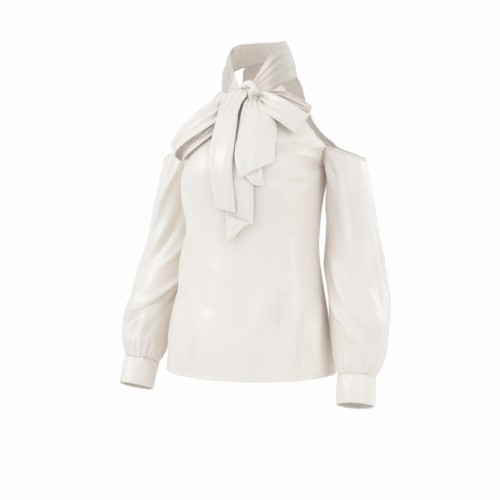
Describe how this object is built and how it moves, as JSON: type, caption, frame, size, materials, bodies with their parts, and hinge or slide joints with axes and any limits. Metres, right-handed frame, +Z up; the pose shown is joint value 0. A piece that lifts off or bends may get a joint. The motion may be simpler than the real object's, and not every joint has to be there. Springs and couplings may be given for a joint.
{
  "type": "blouse",
  "caption": "Cold-shoulder halter blouse in ivory satin with a tied bow at the neck, bare shoulders and long full sleeves gathered into buttoned cuffs, in its worn form.",
  "frame": {"origin": "the centre of the neck ring where the neck band meets the blouse, on the wearer's neck", "axes": "+Z up, the wearer faces -Y, and the wearer's left is +X"},
  "size_m": [0.5745, 0.2695, 0.7307],
  "materials": {
    "satin": "smooth ivory satin with a soft sheen",
    "binding": "the same satin, cut on the bias and rolled",
    "button": "polished cream, faintly pearly"
  },
  "bodies": {
    "root": {"front": "satin", "back": "satin", "sleeve_left": "satin", "sleeve_right": "satin", "cuff_left": "satin", "cuff_right": "satin", "button_left": "button", "button_right": "button", "binding_left": "binding", "binding_right": "binding", "collar": "satin", "wrap_left": "satin", "wrap_right": "satin", "bow_knot": "satin", "bow_loop_left": "satin", "bow_loop_right": "satin", "bow_tail_right": "satin", "bow_tail_left": "satin", "bow_tail_fold": "satin", "bow_tail_long": "satin", "bow_tail_end": "satin"}
  },
  "joints": []
}
